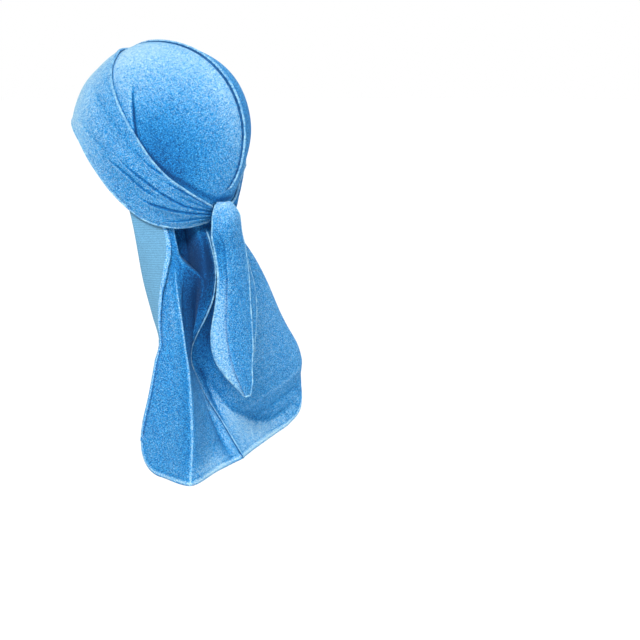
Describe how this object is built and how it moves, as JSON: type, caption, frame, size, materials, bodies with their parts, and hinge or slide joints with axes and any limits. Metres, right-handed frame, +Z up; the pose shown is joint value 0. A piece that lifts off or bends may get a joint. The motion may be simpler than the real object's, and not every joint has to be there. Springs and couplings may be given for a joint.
{
  "type": "durag",
  "caption": "Velvet durag in its worn form: a domed crown with a seam, a wrap band gathered to a knot at the nape, hanging tie ends and a long draped tail.",
  "frame": {"origin": "middle of the head opening, level with the ears", "axes": "the wearer faces -Y, +X is the wearer's left, +Z is up"},
  "size_m": [0.2415, 0.1939, 0.4249],
  "materials": {
    "velvet": "short blue velvet pile, paler where the pile catches the light",
    "seam_thread": "overlocked seam in a darker blue thread"
  },
  "bodies": {
    "root": {"panel_left": "velvet", "panel_right": "velvet", "crown_seam": "seam_thread", "tail_seam": "seam_thread", "wrap_band": "velvet", "nape_knot": "velvet", "tie_end_near": "velvet", "tie_end_far": "velvet"}
  },
  "joints": []
}
